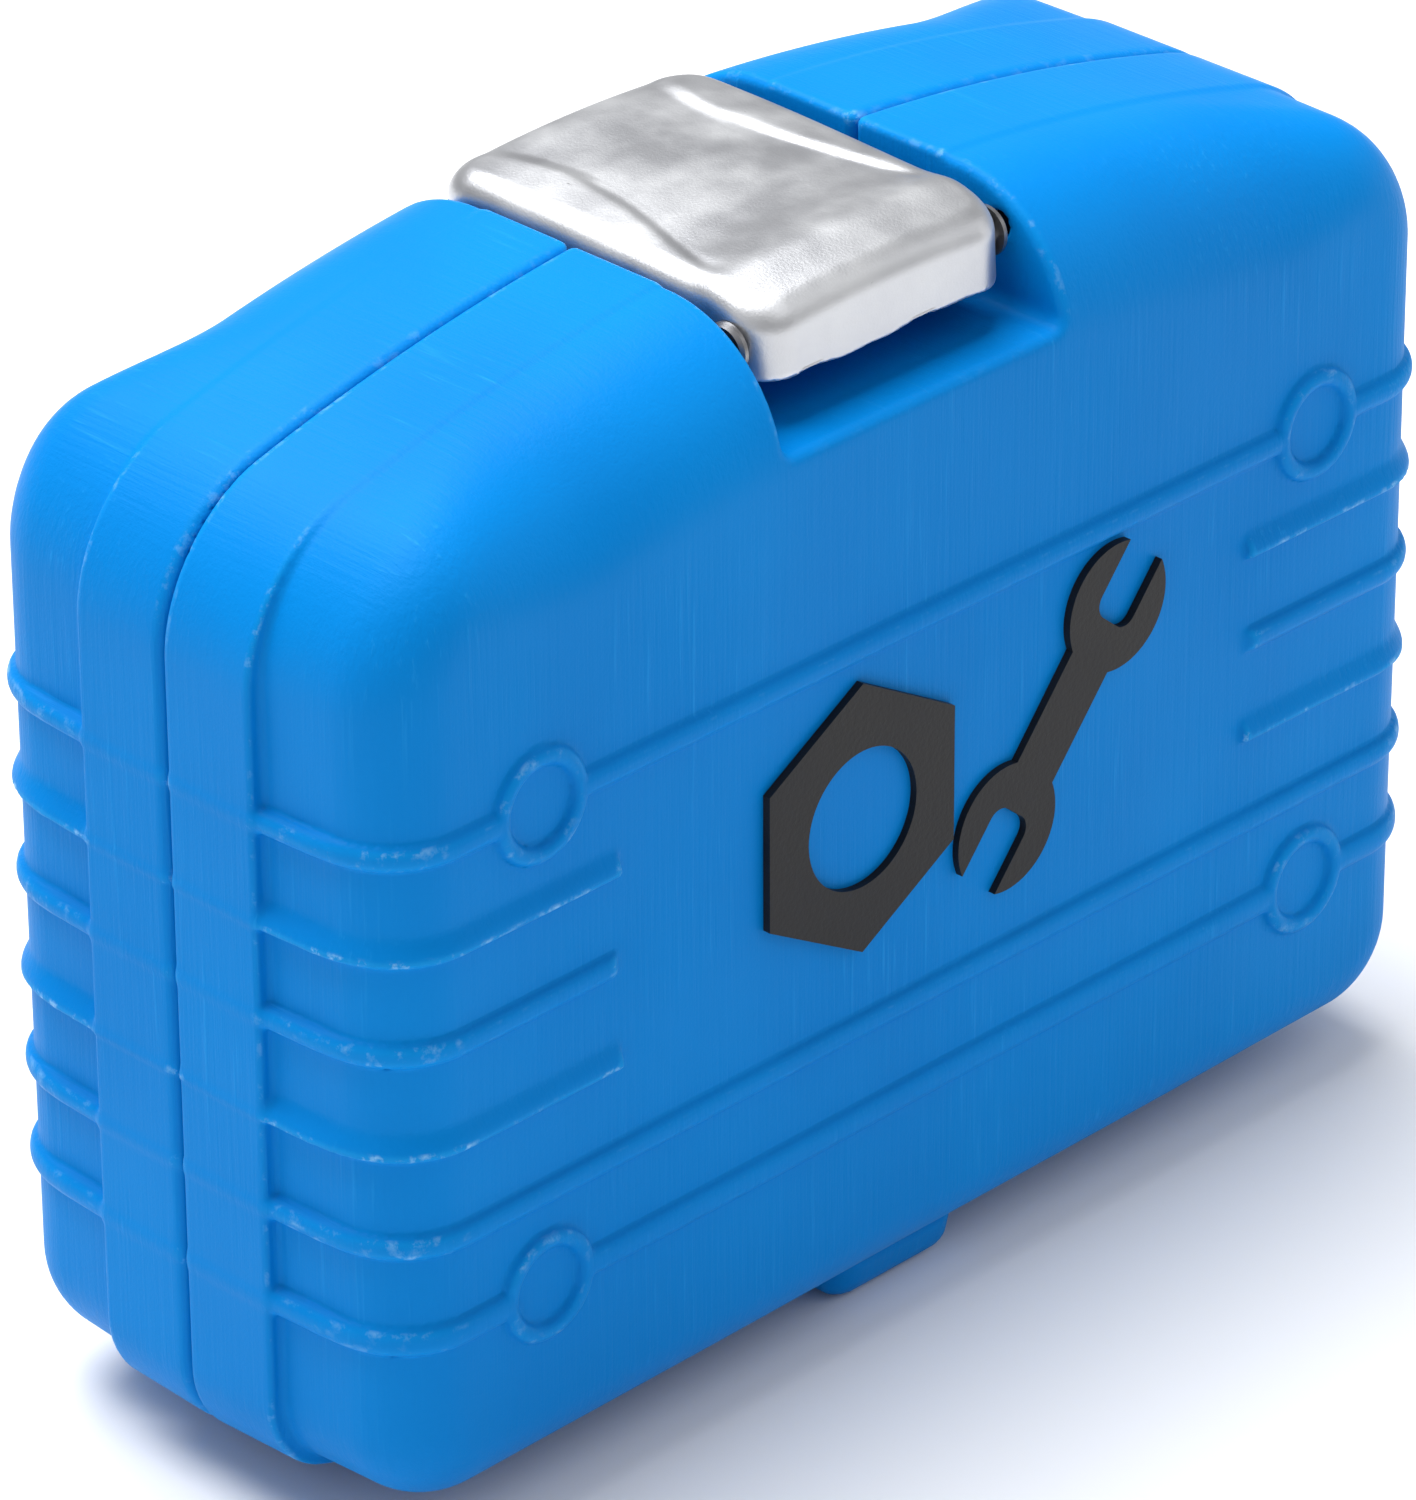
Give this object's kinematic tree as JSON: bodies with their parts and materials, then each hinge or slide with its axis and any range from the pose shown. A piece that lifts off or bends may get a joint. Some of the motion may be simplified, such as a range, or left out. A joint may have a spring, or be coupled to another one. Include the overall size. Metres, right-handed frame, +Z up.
{
  "type": "socket wrench set in case",
  "caption": "Blow-moulded carrying case that opens on a bottom hinge and closes with a sheet-metal latch, holding a ratchet, sockets, bars, a universal joint and bits.",
  "frame": {"origin": "under the middle of the closed case, on the surface that its hinge lugs stand on", "axes": "+X along the case, -Y out of the front face with the raised mark, +Z up"},
  "size_m": [0.1724, 0.067, 0.1344],
  "materials": {
    "case_plastic": "satin blow-moulded polyethylene with fine drag marks",
    "mark_paint": "black print on a raised mark",
    "tray_plastic": "black moulded tray, fine grain",
    "latch_metal": "blasted, slightly worn",
    "plain_steel": "plain turned",
    "grip_rubber": "fine grain",
    "chrome_steel": "satin chrome",
    "bit_steel": "blasted",
    "black_part": "black"
  },
  "bodies": {
    "back_case": {"back_shell": "case_plastic", "cover_screws": "plain_steel", "extension_balls": "plain_steel", "extension_long": "chrome_steel", "extension_short": "chrome_steel", "hinge_pin": "plain_steel", "ratchet_body": "chrome_steel", "ratchet_cover": "chrome_steel", "ratchet_grip": "grip_rubber", "socket_10": "chrome_steel", "socket_11": "chrome_steel", "socket_12": "chrome_steel", "socket_13": "chrome_steel", "socket_14": "chrome_steel", "socket_5_5": "chrome_steel", "socket_6": "chrome_steel", "socket_7": "chrome_steel", "socket_8": "chrome_steel", "socket_9": "chrome_steel", "spinner_ball": "plain_steel", "spinner_grip": "grip_rubber", "spinner_shank": "chrome_steel", "tray_bars": "tray_plastic", "tray_ratchet": "tray_plastic", "tray_sockets": "tray_plastic", "tray_spinner": "tray_plastic"},
    "front_case": {"bit_cross": "bit_steel", "bit_hex": "bit_steel", "bit_holder": "chrome_steel", "bit_slot": "bit_steel", "bit_square": "bit_steel", "deep_socket_10": "chrome_steel", "deep_socket_13": "chrome_steel", "deep_socket_8": "chrome_steel", "front_mark": "mark_paint", "front_shell": "case_plastic", "latch_pin": "plain_steel", "t_bar": "chrome_steel", "tray_bits": "tray_plastic", "tray_deep_sockets": "tray_plastic", "tray_joint": "tray_plastic", "tray_t_bar": "tray_plastic", "yoke_socket": "chrome_steel"},
    "latch": {"latch_plate": "latch_metal"},
    "drive": {"drive_gear": "plain_steel", "drive_ball": "plain_steel"},
    "button": {"release_button": "chrome_steel"},
    "selector": {"reverse_lever": "black_part", "pawl": "plain_steel"},
    "sliding_head": {"t_head": "chrome_steel", "t_head_ball": "plain_steel"},
    "cross": {"joint_cross": "plain_steel"},
    "driven_yoke": {"yoke_square": "chrome_steel", "yoke_ball": "plain_steel"}
  },
  "joints": [
    {"name": "case_hinge", "type": "hinge", "parent": "back_case", "child": "front_case", "pos_m": [0, 0, 0.002], "axis": [1, 0, 0], "range_deg": [0, 180]},
    {"name": "latch_pivot", "type": "hinge", "parent": "front_case", "child": "latch", "pos_m": [0, -0.022, 0.1266], "axis": [1, 0, 0], "range_deg": [0, 90]},
    {"name": "drive_turn", "type": "hinge", "parent": "back_case", "child": "drive", "pos_m": [0.058, 0, 0.101], "axis": [0, 1, 0], "continuous": true},
    {"name": "button_press", "type": "slide", "parent": "drive", "child": "button", "axis": [0, 1, 0], "range_m": [0, 0.0009], "stiffness_N_per_m": 400},
    {"name": "selector_turn", "type": "hinge", "parent": "back_case", "child": "selector", "pos_m": [0.0446, 0, 0.101], "axis": [0, 1, 0], "range_deg": [-20, 20]},
    {"name": "head_slide", "type": "slide", "parent": "front_case", "child": "sliding_head", "axis": [1, 0, 0], "range_m": [-0.044, 0.044]},
    {"name": "yoke_turn_y", "type": "hinge", "parent": "front_case", "child": "cross", "pos_m": [0.008, -0.0158, 0.072], "axis": [0, 1, 0], "range_deg": [-27, 27]},
    {"name": "yoke_turn_z", "type": "hinge", "parent": "cross", "child": "driven_yoke", "pos_m": [0.008, -0.0158, 0.072], "axis": [0, 0, 1], "range_deg": [-27, 27]}
  ]
}
